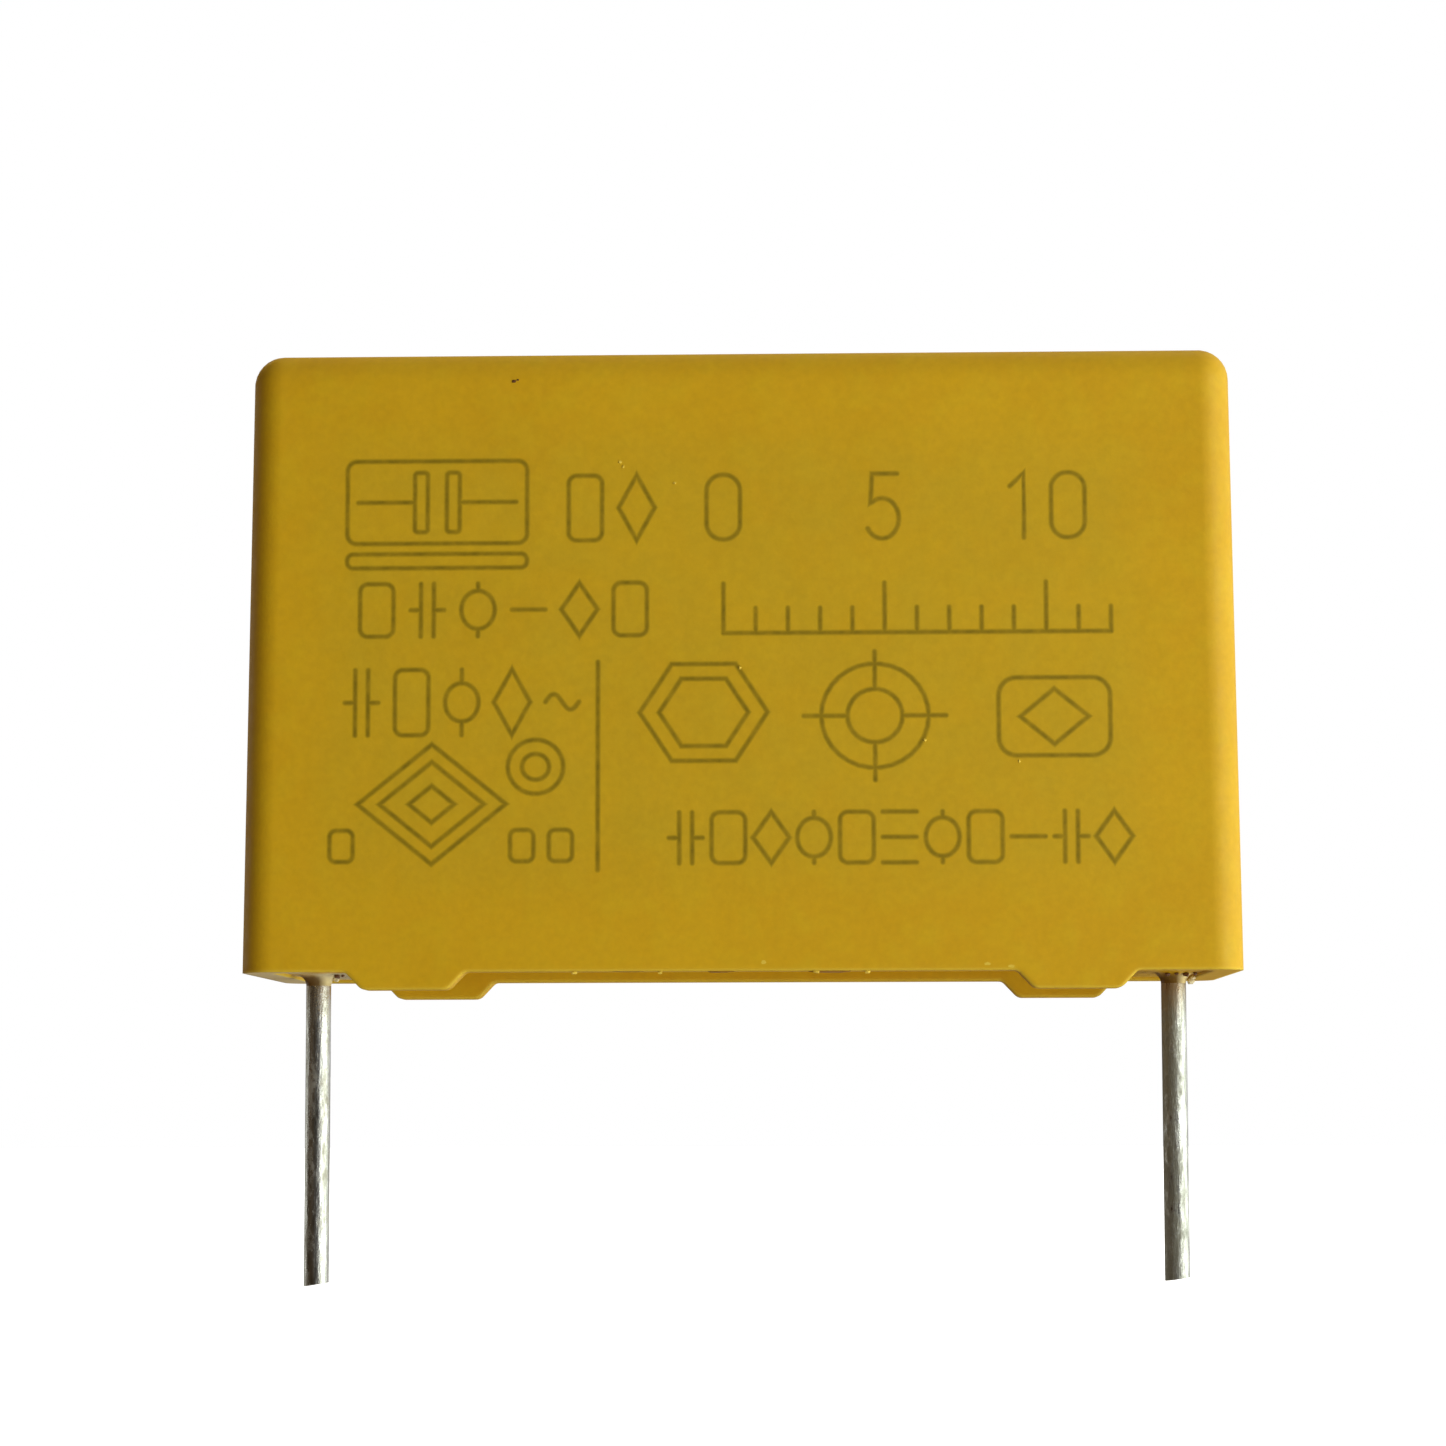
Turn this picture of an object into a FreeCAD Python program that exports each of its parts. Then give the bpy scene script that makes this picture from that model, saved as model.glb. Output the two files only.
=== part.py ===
import FreeCAD, Part
import math
import os
import Sketcher

# Box film capacitor, in millimetres.
# +Z is up and Z = 0 is the board that the four feet stand on. The origin lies midway between
# the two leads. X runs from lead to lead, and the marked face looks along -Y.

# Driving sizes: name, value, meaning
SIZES = [
    ("lead_pitch", 27.5, "between the two lead axes"),
    ("lead_diameter", 0.8, "tinned wire"),
    ("left_lead_drop", 9.35, "left tip below the board plane"),
    ("right_lead_drop", 9.2, "right tip below the board plane"),
    ("lead_cut_rise", 0.12, "slant across a cut tip"),
    ("lead_reach", 4.2, "lead above the middle of the winding"),
    ("lead_bite", 0.1, "how deep a lead is pressed into the sprayed end"),
    ("lead_end_gap", 0.45, "lead to the inner end wall at the rim"),
    ("case_depth", 11.0, "outside, along Y, at the rim"),
    ("case_height", 20.0, "board plane to the roof"),
    ("case_wall", 0.9, "side wall at the rim"),
    ("case_roof", 1.1, "closed end"),
    ("case_edge_radius", 0.95, "outer upright and roof edges"),
    ("core_edge_radius", 0.4, "inner upright and roof edges"),
    ("case_draft", 0.55, "outer draft in degrees"),
    ("core_draft", 0.7, "inner draft in degrees"),
    ("foot_drop", 0.55, "rim above the board plane"),
    ("foot_inset", 3.4, "foot centre from the lead axis, along X"),
    ("foot_tip_width", 2.65, "foot at the board plane"),
    ("foot_root_width", 3.7, "foot at the rim"),
    ("foot_tip_radius", 0.35, "rounded corners of a foot tip"),
    ("foot_root_radius", 0.25, "hollow corners where a foot meets the rim"),
    ("resin_end_level", 0.1, "resin below the rim at the leads"),
    ("resin_recess", 0.6, "resin below the rim in the middle"),
    ("hollow_end_gap", 0.4, "hollow mouth from the resin collar, along X"),
    ("hollow_ramp", 1.0, "run of the hollow's sloping end"),
    ("hollow_round", 1.2, "radius where the ramp meets the level resin"),
    ("collar_end_gap", 0.1, "resin collar to the inner end wall at the rim"),
    ("resin_cover", 2.25, "resin between the hollow and the winding"),
    ("winding_top_gap", 0.6, "cover film to the case roof"),
    ("winding_side_gap", 0.55, "cover film to the side wall at the rim"),
    ("cover_thickness", 0.15, "outer wrap of plain film"),
    ("slit_thickness", 0.2, "flattened hole left by the winding mandrel"),
    ("spray_thickness", 0.5, "sprayed metal on a winding end"),
    ("spray_edge_bevel", 0.2, "sloping rim of the sprayed metal"),
    ("solder_overhang", 0.13, "solder outside the lead, along X"),
    ("solder_wetting", 0.75, "foot of the solder mound beside the lead, along Y"),
    ("solder_length", 4.2, "foot of the solder mound, along Z"),
    ("solder_slope", 38, "flank of the solder mound in degrees"),
]

# Sizes worked out from the driving ones: name, formula, meaning
FITS = [
    ("lead_radius", "=lead_diameter / 2", "half the wire"),
    ("lead_half_pitch", "=lead_pitch / 2", "lead axis from the middle"),
    ("cavity_width", "=lead_pitch + lead_diameter + 2 * lead_end_gap", "inside at the rim, along X"),
    ("cavity_depth", "=case_depth - 2 * case_wall", "inside at the rim, along Y"),
    ("cavity_rise", "=case_height - foot_drop - case_roof", "rim to the inner roof"),
    ("case_width", "=cavity_width + 2 * case_wall", "outside at the rim, along X"),
    ("case_rise", "=case_height - foot_drop", "rim to the roof"),
    ("foot_centre", "=lead_half_pitch - foot_inset", "foot centre from the middle"),
    ("resin_end_z", "=foot_drop + resin_end_level", "resin surface at the leads"),
    ("resin_middle_z", "=foot_drop + resin_recess", "resin surface in the middle"),
    ("collar_radius", "=lead_end_gap - collar_end_gap", "flare of the resin drawn along a lead"),
    ("hollow_mouth", "=lead_half_pitch - lead_radius - collar_radius - hollow_end_gap",
     "half length of the hollow at its mouth"),
    ("hollow_floor", "=hollow_mouth - hollow_ramp", "half length of the hollow at its floor"),
    ("roll_thickness", "=cavity_depth - 2 * winding_side_gap", "covered winding, along Y"),
    ("roll_bottom_z", "=resin_middle_z + resin_cover", "lowest point of the covered winding"),
    ("roll_top_z", "=case_height - case_roof - winding_top_gap", "highest point of the covered winding"),
    ("roll_height", "=roll_top_z - roll_bottom_z", "covered winding, along Z"),
    ("roll_centre_z", "=(roll_top_z + roll_bottom_z) / 2", "middle of the winding"),
    ("film_thickness", "=roll_thickness - 2 * cover_thickness", "bare winding, along Y"),
    ("film_height", "=roll_height - 2 * cover_thickness", "bare winding, along Z"),
    ("slit_height", "=film_height - film_thickness + slit_thickness", "mandrel hole, along Z"),
    ("spray_face", "=lead_half_pitch - lead_radius + lead_bite", "outer face of the sprayed metal"),
    ("film_half_length", "=spray_face - spray_thickness", "winding end from the middle"),
    ("solder_rise", "=lead_half_pitch + lead_radius + solder_overhang - spray_face",
     "solder mound, from the sprayed metal out along X"),
    ("solder_width", "=lead_diameter + 2 * solder_wetting", "foot of the solder mound, along Y"),
]

PARTS_FOLDER = "parts"
SIDES = (("left", -1), ("right", 1))

# Slack where an edge is picked out by its place
TOLERANCE = 0.001

# Rough size of a sketch's lines before its dimensions take theirs from the sheet
START = 5.0


def fill_sheet(doc):
    """Put the driving sizes and the fits in a sheet, one alias a row."""
    sheet = doc.addObject("Spreadsheet::Sheet", "sizes")
    for row, (name, content, meaning) in enumerate(SIZES + FITS, start=1):
        sheet.set(f"A{row}", name)
        sheet.set(f"B{row}", str(content))
        sheet.set(f"C{row}", meaning)
        sheet.setAlias(f"B{row}", name)
    doc.recompute()
    return sheet


def new_body(doc, name):
    """An empty body, placed at the origin of the part."""
    body = doc.addObject("PartDesign::Body", name)
    body.Label = name
    body.Placement = FreeCAD.Placement()
    return body


def own_plane(body, role):
    """One of the body's own origin planes."""
    return next(part for part in body.Origin.OriginFeatures if part.Role == role)


def sketch_on(body, name, plane_role, offsets):
    """A sketch on one of the body's own planes, shifted by formulas along its own axes."""
    sketch = body.newObject("Sketcher::SketchObject", name)
    sketch.AttachmentSupport = [(own_plane(body, plane_role), "")]
    sketch.MapMode = "FlatFace"
    for axis, formula in offsets.items():
        sketch.setExpression(f"AttachmentOffset.Base.{axis}", formula)
    return sketch


def bind(sketch, name, formula, *constraint):
    """Add a named dimension to a sketch and tie it to the sheet."""
    index = sketch.addConstraint(Sketcher.Constraint(*constraint))
    sketch.renameConstraint(index, name)
    sketch.setExpression(f"Constraints.{name}", formula)


def closed_lines(sketch, points):
    """Join points in order with lines and close the loop; returns the index of each line."""
    corners = [FreeCAD.Vector(across, up, 0) for across, up in points]
    lines = []
    for start, end in zip(corners, corners[1:] + corners[:1]):
        lines.append(sketch.addGeometry(Part.LineSegment(start, end), False))
    for line, following in zip(lines, lines[1:] + lines[:1]):
        sketch.addConstraint(Sketcher.Constraint("Coincident", line, 2, following, 1))
    return lines


def centred_rectangle(sketch, width, depth):
    """A rectangle about the sketch's origin, of the sizes that two formulas give."""
    corners = [(-START, -START), (START, -START), (START, START), (-START, START)]
    bottom, right, top, left = closed_lines(sketch, corners)
    for line in (bottom, top):
        sketch.addConstraint(Sketcher.Constraint("Horizontal", line))
    for line in (right, left):
        sketch.addConstraint(Sketcher.Constraint("Vertical", line))
    sketch.addConstraint(Sketcher.Constraint("Symmetric", bottom, 1, top, 1, -1, 1))
    bind(sketch, "width", width, "DistanceX", bottom, 1, bottom, 2, 2 * START)
    bind(sketch, "depth", depth, "DistanceY", right, 1, right, 2, 2 * START)


def stadium(sketch, name, thickness, height):
    """A flattened round about the sketch's origin: two upright lines and two half circles."""
    normal = FreeCAD.Vector(0, 0, 1)
    upper, lower = FreeCAD.Vector(0, START, 0), FreeCAD.Vector(0, -START, 0)
    across = FreeCAD.Vector(START, 0, 0)
    right = sketch.addGeometry(Part.LineSegment(lower + across, upper + across), False)
    upper_arc = Part.ArcOfCircle(Part.Circle(upper, normal, START), 0, math.pi)
    over = sketch.addGeometry(upper_arc, False)
    left = sketch.addGeometry(Part.LineSegment(upper - across, lower - across), False)
    lower_arc = Part.ArcOfCircle(Part.Circle(lower, normal, START), math.pi, 2 * math.pi)
    under = sketch.addGeometry(lower_arc, False)
    loop = [right, over, left, under]
    for edge, following in zip(loop, loop[1:] + loop[:1]):
        sketch.addConstraint(Sketcher.Constraint("Tangent", edge, 2, following, 1))
    sketch.addConstraint(Sketcher.Constraint("Vertical", right))
    sketch.addConstraint(Sketcher.Constraint("PointOnObject", over, 3, -2))
    sketch.addConstraint(Sketcher.Constraint("Symmetric", over, 3, under, 3, -1, 1))
    bind(sketch, name + "_thickness", thickness, "DistanceX", left, 1, right, 2, 2 * START)
    bind(sketch, name + "_straight", f"{height} - {thickness}", "DistanceY", under, 3, over, 3,
         2 * START)


def edge_names(shape, wanted):
    """Names of the edges of a shape that a test picks out."""
    return [f"Edge{number}" for number, edge in enumerate(shape.Edges, start=1) if wanted(edge)]


def above(edge, level):
    """True where an edge rises above the level."""
    return edge.BoundBox.ZMax > level + TOLERANCE


def round_edges(body, name, base, wanted, radius):
    """Round the edges of a feature that a test picks out, by the radius a formula gives."""
    body.Document.recompute()
    rounding = body.newObject("PartDesign::Fillet", name)
    rounding.Base = (base, edge_names(base.Shape, wanted))
    rounding.setExpression("Radius", radius)
    body.Document.recompute()
    return rounding


def drafted_block(body, name, width, depth, rise, draft, radius, rim_z):
    """A block that stands on the rim plane, narrows upwards and has rounded edges."""
    outline = sketch_on(body, name + "_outline", "XY_Plane", {"z": "sizes.foot_drop"})
    centred_rectangle(outline, width, depth)
    block = body.newObject("PartDesign::Pad", name + "_block")
    block.Profile = outline
    block.setExpression("Length", rise)
    block.setExpression("TaperAngle", f"-{draft}")
    return round_edges(body, name + "_edges", block, lambda edge: above(edge, rim_z), radius)


def make_case(doc, sheet):
    """The moulded box, open towards the board, with four feet that carry on its long walls."""
    body = new_body(doc, "case")
    rim_z = sheet.get("foot_drop")
    drafted_block(body, "case", "sizes.case_width", "sizes.case_depth", "sizes.case_rise",
                  "sizes.case_draft", "sizes.case_edge_radius", rim_z)

    mouth = sketch_on(body, "cavity_outline", "XY_Plane", {"z": "sizes.foot_drop"})
    centred_rectangle(mouth, "sizes.cavity_width", "sizes.cavity_depth")
    cavity = body.newObject("PartDesign::Pocket", "cavity")
    cavity.Profile = mouth
    cavity.Reversed = True
    cavity.setExpression("Length", "sizes.cavity_rise")
    cavity.setExpression("TaperAngle", "-sizes.core_draft")
    half_width = sheet.get("cavity_width") / 2 + TOLERANCE
    half_depth = sheet.get("cavity_depth") / 2 + TOLERANCE

    def inside(edge):
        box = edge.BoundBox
        within = box.XMax < half_width and box.XMin > -half_width
        return within and box.YMax < half_depth and box.YMin > -half_depth and above(edge, rim_z)

    round_edges(body, "cavity_edges", cavity, inside, "sizes.core_edge_radius")

    feet = sketch_on(body, "foot_outline", "XZ_Plane", {"z": "sizes.case_depth / 2"})
    foot_pair(feet, sheet)
    front_feet = body.newObject("PartDesign::Pad", "front_feet")
    front_feet.Profile = feet
    front_feet.Reversed = True
    front_feet.setExpression("Length", "sizes.case_wall")
    rear_feet = body.newObject("PartDesign::Mirrored", "rear_feet")
    rear_feet.Originals = [front_feet]
    rear_feet.MirrorPlane = (own_plane(body, "XZ_Plane"), [""])
    body.Tip = rear_feet

    def tip_corner(edge):
        box = edge.BoundBox
        return box.ZMax < TOLERANCE and box.YLength > TOLERANCE and box.XLength < TOLERANCE

    tips = round_edges(body, "foot_tips", rear_feet, tip_corner, "sizes.foot_tip_radius")

    def root_corner(edge):
        box = edge.BoundBox
        at_rim = abs(box.ZMin - rim_z) < TOLERANCE and box.ZLength < TOLERANCE
        from_foot = abs(abs(box.XMin) - sheet.get("foot_centre"))
        at_foot = abs(from_foot - sheet.get("foot_root_width") / 2) < TOLERANCE
        return at_rim and at_foot and box.XLength < TOLERANCE

    round_edges(body, "foot_roots", tips, root_corner, "sizes.foot_root_radius")
    return body


def foot_pair(sketch, sheet):
    """Two trapezoids, mirror images about the upright axis, standing on the board plane."""
    centre = sheet.get("foot_centre")
    root = sheet.get("foot_root_width") / 2
    tip = sheet.get("foot_tip_width") / 2
    rim = sheet.get("foot_drop")
    profile = [(centre - tip, 0), (centre + tip, 0), (centre + root, rim), (centre - root, rim)]
    tip_line, outer, root_line, inner = closed_lines(sketch, profile)
    for line in (tip_line, root_line):
        sketch.addConstraint(Sketcher.Constraint("Horizontal", line))
    sketch.addConstraint(Sketcher.Constraint("PointOnObject", tip_line, 1, -1))
    bind(sketch, "drop", "sizes.foot_drop", "DistanceY", tip_line, 1, root_line, 2, rim)
    bind(sketch, "tip_width", "sizes.foot_tip_width", "DistanceX", tip_line, 1, tip_line, 2, 2 * tip)
    bind(sketch, "root_width", "sizes.foot_root_width", "DistanceX", root_line, 2, root_line, 1,
         2 * root)
    bind(sketch, "tip_start", "sizes.foot_centre - sizes.foot_tip_width / 2",
         "DistanceX", -1, 1, tip_line, 1, centre - tip)
    bind(sketch, "root_start", "sizes.foot_centre - sizes.foot_root_width / 2",
         "DistanceX", -1, 1, root_line, 2, centre - root)
    mirrored = closed_lines(sketch, [(-across, up) for across, up in profile])
    for line, image in zip((tip_line, outer, root_line, inner), mirrored):
        sketch.addConstraint(Sketcher.Constraint("Symmetric", line, 1, image, 1, -2))


def make_film_winding(doc):
    """The metallised film roll, pressed flat; the hole of its mandrel is a narrow slit."""
    body = new_body(doc, "film_winding")
    outline = sketch_on(body, "winding_outline", "YZ_Plane", {"y": "sizes.roll_centre_z"})
    stadium(outline, "film", "sizes.film_thickness", "sizes.film_height")
    stadium(outline, "slit", "sizes.slit_thickness", "sizes.slit_height")
    roll = body.newObject("PartDesign::Pad", "winding_roll")
    roll.Profile = outline
    roll.Midplane = True
    roll.setExpression("Length", "2 * sizes.film_half_length")
    return body


def make_cover_film(doc):
    """The plain film wrapped round the winding, as one sleeve."""
    body = new_body(doc, "cover_film")
    outline = sketch_on(body, "cover_outline", "YZ_Plane", {"y": "sizes.roll_centre_z"})
    stadium(outline, "outer", "sizes.roll_thickness", "sizes.roll_height")
    stadium(outline, "inner", "sizes.film_thickness", "sizes.film_height")
    sleeve = body.newObject("PartDesign::Pad", "cover_sleeve")
    sleeve.Profile = outline
    sleeve.Midplane = True
    sleeve.setExpression("Length", "2 * sizes.film_half_length")
    return body


def make_lead(doc, side, sign):
    """One straight wire, from its slant-cut tip up along the sprayed end of the winding.

    Its wall is parted at the board plane, so that the stretch that enters the board is a face
    of its own.
    """
    body = new_body(doc, f"lead_{side}")
    drop = f"sizes.{side}_lead_drop"
    place = {"x": f"{sign} * sizes.lead_half_pitch"}
    outline = sketch_on(body, f"{side}_lead_outline", "XY_Plane", place)
    circle = Part.Circle(FreeCAD.Vector(0, 0, 0), FreeCAD.Vector(0, 0, 1), START)
    wire = outline.addGeometry(circle, False)
    outline.addConstraint(Sketcher.Constraint("Coincident", wire, 3, -1, 1))
    bind(outline, "diameter", "sizes.lead_diameter", "Diameter", wire, 2 * START)
    for stretch, downwards, length in (("pin", True, drop),
                                       ("tail", False, "sizes.roll_centre_z + sizes.lead_reach")):
        rod = body.newObject("PartDesign::Pad", f"{side}_lead_{stretch}")
        rod.Profile = outline
        rod.Reversed = downwards
        rod.Refine = False
        rod.setExpression("Length", length)

    nip_place = {"x": f"{sign} * sizes.lead_half_pitch", "y": f"-{drop}"}
    nip = sketch_on(body, f"{side}_tip_outline", "XZ_Plane", nip_place)
    low, upright, slant = closed_lines(nip, [(-START, 0), (START, 0), (START, START)])
    nip.addConstraint(Sketcher.Constraint("Horizontal", low))
    nip.addConstraint(Sketcher.Constraint("Vertical", upright))
    nip.addConstraint(Sketcher.Constraint("Symmetric", low, 1, low, 2, -1, 1))
    bind(nip, "reach", "2 * sizes.lead_diameter", "DistanceX", low, 1, low, 2, 2 * START)
    bind(nip, "rise", "2 * sizes.lead_cut_rise", "DistanceY", upright, 1, upright, 2, START)
    cut = body.newObject("PartDesign::Pocket", f"{side}_tip_cut")
    cut.Profile = nip
    cut.Midplane = True
    cut.Refine = False
    cut.setExpression("Length", "2 * sizes.lead_diameter")
    return body


def make_end_spray(doc, sheet, side, sign, lead):
    """Sprayed metal that joins all the film edges of one end, with the lead pressed into it."""
    body = new_body(doc, f"{side}_spray_layer")
    place = {"y": "sizes.roll_centre_z", "z": f"{sign} * sizes.film_half_length"}
    outline = sketch_on(body, f"{side}_spray_outline", "YZ_Plane", place)
    stadium(outline, "spray", "sizes.roll_thickness", "sizes.roll_height")
    layer = body.newObject("PartDesign::Pad", f"{side}_spray_pad")
    layer.Profile = outline
    layer.Reversed = sign < 0
    layer.setExpression("Length", "sizes.spray_thickness")
    outer_x = sign * sheet.get("spray_face")

    def on_outer_face(edge):
        box = edge.BoundBox
        return abs(box.XMin - outer_x) < TOLERANCE and abs(box.XMax - outer_x) < TOLERANCE

    doc.recompute()
    rim = body.newObject("PartDesign::Chamfer", f"{side}_spray_rim")
    rim.Base = (layer, edge_names(layer.Shape, on_outer_face))
    rim.setExpression("Size", "sizes.spray_edge_bevel")
    spray = doc.addObject("Part::Cut", f"end_spray_{side}")
    spray.Label = f"end_spray_{side}"
    spray.Base = body
    spray.Tool = lead
    return spray


def make_solder_joint(doc, side, sign, lead):
    """The mound of solder that covers the lead and wets the sprayed metal on both sides of it."""
    body = new_body(doc, f"{side}_solder_mound")
    place = {"y": "sizes.roll_centre_z", "z": f"{sign} * sizes.spray_face"}
    outline = sketch_on(body, f"{side}_solder_outline", "YZ_Plane", place)
    stadium(outline, "mound", "sizes.solder_width", "sizes.solder_length")
    mound = body.newObject("PartDesign::Pad", f"{side}_solder_pad")
    mound.Profile = outline
    mound.Reversed = sign < 0
    mound.setExpression("Length", "sizes.solder_rise")
    mound.setExpression("TaperAngle", "-sizes.solder_slope")
    joint = doc.addObject("Part::Cut", f"solder_joint_{side}")
    joint.Label = f"solder_joint_{side}"
    joint.Base = body
    joint.Tool = lead
    return joint


def make_resin(doc, sheet, embedded):
    """The cast resin: it fills the box round the winding and sinks towards its middle."""
    body = new_body(doc, "resin_fill")
    rim_z = sheet.get("foot_drop")
    drafted_block(body, "resin", "sizes.cavity_width", "sizes.cavity_depth", "sizes.cavity_rise",
                  "sizes.core_draft", "sizes.core_edge_radius", rim_z)

    surface = sketch_on(body, "surface_outline", "XZ_Plane", {})
    surface_profile(surface, sheet)
    hollow = body.newObject("PartDesign::Pocket", "hollow")
    hollow.Profile = surface
    hollow.Midplane = True
    hollow.setExpression("Length", "2 * sizes.case_depth")
    ramp_ends = (sheet.get("hollow_mouth"), sheet.get("hollow_floor"))

    def across_ramp(edge):
        box = edge.BoundBox
        at_ramp = any(abs(abs(box.Center.x) - end) < TOLERANCE for end in ramp_ends)
        return at_ramp and box.XLength < TOLERANCE and box.ZLength < TOLERANCE

    round_edges(body, "hollow_edges", hollow, across_ramp, "sizes.hollow_round")
    for side, sign in SIDES:
        body.Tip = add_collar(body, sheet, side, sign)

    roll_space = new_body(doc, "roll_space")
    outline = sketch_on(roll_space, "roll_outline", "YZ_Plane", {"y": "sizes.roll_centre_z"})
    stadium(outline, "roll", "sizes.roll_thickness", "sizes.roll_height")
    roll = roll_space.newObject("PartDesign::Pad", "roll_block")
    roll.Profile = outline
    roll.Midplane = True
    roll.setExpression("Length", "2 * sizes.film_half_length")

    held = doc.addObject("Part::MultiFuse", "held_pieces")
    held.Shapes = [roll_space] + embedded
    resin = doc.addObject("Part::Cut", "potting_resin")
    resin.Label = "potting_resin"
    resin.Base = body
    resin.Tool = held
    return resin


def surface_profile(sketch, sheet):
    """What lies below the resin's open surface: level at the leads, sunk in the middle."""
    wide = sheet.get("case_width")
    mouth = sheet.get("hollow_mouth")
    floor = sheet.get("hollow_floor")
    end_z = sheet.get("resin_end_z")
    middle_z = sheet.get("resin_middle_z")
    below = sheet.get("foot_drop")
    half = [(wide, -below), (wide, end_z), (mouth, end_z), (floor, middle_z)]
    lines = closed_lines(sketch, half + [(-across, up) for across, up in reversed(half)])
    right, right_shelf, right_ramp, hollow_top, left_ramp, left_shelf, left, under = lines
    for line in (right, left):
        sketch.addConstraint(Sketcher.Constraint("Vertical", line))
    for line in (right_shelf, under):
        sketch.addConstraint(Sketcher.Constraint("Horizontal", line))
    for line, image in ((right_shelf, left), (right_ramp, left_shelf), (hollow_top, left_ramp)):
        sketch.addConstraint(Sketcher.Constraint("Symmetric", line, 1, image, 1, -2))
    bind(sketch, "half_width", "sizes.case_width", "DistanceX", -1, 1, right, 1, wide)
    bind(sketch, "mouth", "sizes.hollow_mouth", "DistanceX", -1, 1, right_ramp, 1, mouth)
    bind(sketch, "floor", "sizes.hollow_floor", "DistanceX", -1, 1, hollow_top, 1, floor)
    bind(sketch, "below", "sizes.foot_drop", "DistanceY", under, 1, -1, 1, below)
    bind(sketch, "end_level", "sizes.resin_end_z", "DistanceY", -1, 1, right_ramp, 1, end_z)
    bind(sketch, "middle_level", "sizes.resin_middle_z", "DistanceY", -1, 1, hollow_top, 1, middle_z)


def add_collar(body, sheet, side, sign):
    """The resin drawn up round one lead, with a hollow quarter-round flank."""
    place = {"x": f"{sign} * sizes.lead_half_pitch", "y": "sizes.resin_end_z"}
    outline = sketch_on(body, f"{side}_collar_outline", "XZ_Plane", place)
    lead = sheet.get("lead_radius")
    flare = sheet.get("collar_radius")
    root = 2 * flare
    points = [FreeCAD.Vector(across, up, 0) for across, up in
              ((0, -flare), (lead, -flare), (lead + flare, 0), (lead + flare, root), (0, root))]
    end, low, mouth, high, top = points
    tip = outline.addGeometry(Part.LineSegment(end, low), False)
    centre = FreeCAD.Vector(lead + flare, -flare, 0)
    circle = Part.Circle(centre, FreeCAD.Vector(0, 0, 1), flare)
    flank = outline.addGeometry(Part.ArcOfCircle(circle, math.pi / 2, math.pi), False)
    outer = outline.addGeometry(Part.LineSegment(mouth, high), False)
    lid = outline.addGeometry(Part.LineSegment(high, top), False)
    axis = outline.addGeometry(Part.LineSegment(top, end), False)
    for first, second in (((tip, 2), (flank, 2)), ((flank, 1), (outer, 1)), ((outer, 2), (lid, 1)),
                          ((lid, 2), (axis, 1)), ((axis, 2), (tip, 1))):
        outline.addConstraint(Sketcher.Constraint("Coincident", *first, *second))
    outline.addConstraint(Sketcher.Constraint("Horizontal", tip))
    outline.addConstraint(Sketcher.Constraint("Horizontal", lid))
    outline.addConstraint(Sketcher.Constraint("Vertical", outer))
    outline.addConstraint(Sketcher.Constraint("PointOnObject", axis, 1, -2))
    outline.addConstraint(Sketcher.Constraint("PointOnObject", axis, 2, -2))
    outline.addConstraint(Sketcher.Constraint("PointOnObject", outer, 1, -1))
    outline.addConstraint(Sketcher.Constraint("Vertical", flank, 3, outer, 1))
    outline.addConstraint(Sketcher.Constraint("Horizontal", flank, 3, tip, 2))
    bind(outline, "lead", "sizes.lead_radius", "DistanceX", tip, 1, tip, 2, lead)
    bind(outline, "flare", "sizes.collar_radius", "Radius", flank, flare)
    bind(outline, "root", "2 * sizes.collar_radius", "DistanceY", outer, 1, outer, 2, root)
    collar = body.newObject("PartDesign::Revolution", f"{side}_collar")
    collar.Profile = outline
    collar.ReferenceAxis = (outline, ["V_Axis"])
    return collar


def check_and_write(doc, pieces):
    """Stop on any failed feature or bad solid, then write one file for each piece."""
    for item in doc.Objects:
        if {"Invalid", "Error"} & set(item.State):
            raise RuntimeError(f"{item.Label} failed: {item.State}")
    for piece in pieces:
        shape = piece.Shape
        if shape.isNull() or not shape.isValid():
            raise RuntimeError(f"{piece.Label} has no valid shape")
        if len(shape.Solids) != 1:
            raise RuntimeError(f"{piece.Label} has {len(shape.Solids)} solids")
    os.makedirs(PARTS_FOLDER, exist_ok=True)
    for piece in pieces:
        piece.Shape.exportStep(os.path.join(PARTS_FOLDER, piece.Label + ".step"))
        print(piece.Label, round(piece.Shape.Volume, 3), "mm3")


def main():
    doc = FreeCAD.newDocument("box_film_capacitor")
    sheet = fill_sheet(doc)
    pieces = [make_case(doc, sheet), make_film_winding(doc), make_cover_film(doc)]
    embedded = []
    for side, sign in SIDES:
        lead = make_lead(doc, side, sign)
        spray = make_end_spray(doc, sheet, side, sign, lead)
        joint = make_solder_joint(doc, side, sign, lead)
        embedded += [lead, spray, joint]
    resin = make_resin(doc, sheet, embedded)
    doc.recompute()
    check_and_write(doc, pieces + embedded + [resin])


main()
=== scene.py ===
import math
import random

import bmesh
import bpy
from mathutils import Matrix, Vector
from mathutils.bvhtree import BVHTree


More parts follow.
